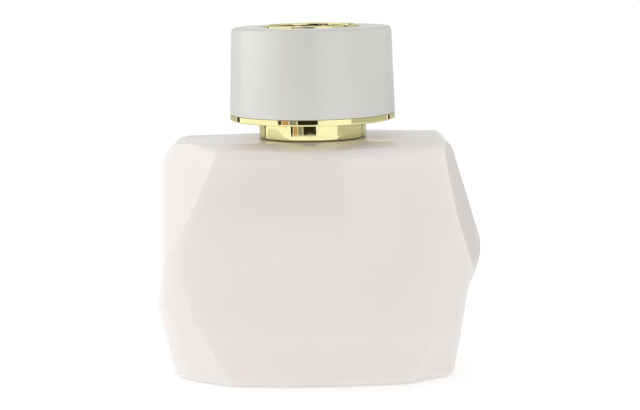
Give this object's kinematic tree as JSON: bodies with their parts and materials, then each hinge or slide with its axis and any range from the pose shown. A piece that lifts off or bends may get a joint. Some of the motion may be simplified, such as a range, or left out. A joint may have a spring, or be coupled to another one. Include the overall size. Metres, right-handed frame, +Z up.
{
  "type": "perfume bottle",
  "caption": "Faceted thick milky glass perfume bottle, spray pump, pale gold collar and a lift-off white cap with gold band and medallion",
  "frame": {"origin": "where the neck axis meets the flat base", "axes": "+Z up along the neck axis, +X to the right and -Y to the front, the way the nozzle points"},
  "size_m": [0.0709, 0.0378, 0.077],
  "materials": {
    "clear_glass": "clear polished, white lacquer on the inner wall",
    "white_lacquer": "gloss",
    "pale_gold": "polished pale gold",
    "pump_aluminium": "satin",
    "spring_steel": "satin",
    "white_plastic": "matt",
    "clear_plastic": "natural",
    "grey_rubber": "matt",
    "cast_zinc": "as cast"
  },
  "bodies": {
    "bottle": {"glass_bottle": "clear_glass", "neck_gasket": "grey_rubber", "crimp_ferrule": "pump_aluminium", "pump_housing": "clear_plastic", "pump_turret": "white_plastic", "stem_seal": "grey_rubber", "dip_tube": "clear_plastic", "return_spring": "spring_steel", "collar_insert": "white_plastic", "collar_shell": "pale_gold"},
    "stem": {"pump_stem": "white_plastic"},
    "piston": {"piston": "clear_plastic"},
    "valve_ball": {"inlet_ball": "spring_steel"},
    "button": {"actuator_core": "white_plastic", "actuator_shell": "pale_gold", "nozzle_insert": "white_plastic"},
    "cap": {"cap_shell": "white_lacquer", "cap_liner": "white_plastic", "cap_weight": "cast_zinc", "cap_band": "pale_gold", "medallion_base": "pale_gold", "medallion_frame": "pale_gold"}
  },
  "joints": [
    {"name": "cap_lift", "type": "slide", "parent": "bottle", "child": "cap", "axis": [0, 0, 1], "range_m": [0, 0.03]},
    {"name": "pump_stroke", "type": "slide", "parent": "bottle", "child": "stem", "axis": [0, 0, -1], "range_m": [0, 0.004], "stiffness_N_per_m": 600, "springref_m": -0.004, "deforming": ["return_spring"]},
    {"name": "button_turn", "type": "hinge", "parent": "stem", "child": "button", "pos_m": [0, 0, 0.07], "axis": [0, 0, 1], "continuous": true},
    {"name": "piston_lag", "type": "slide", "parent": "stem", "child": "piston", "axis": [0, 0, 1], "range_m": [0, 0.0005]},
    {"name": "ball_lift", "type": "slide", "parent": "bottle", "child": "valve_ball", "axis": [0, 0, 1], "range_m": [0, 0.0008]}
  ]
}
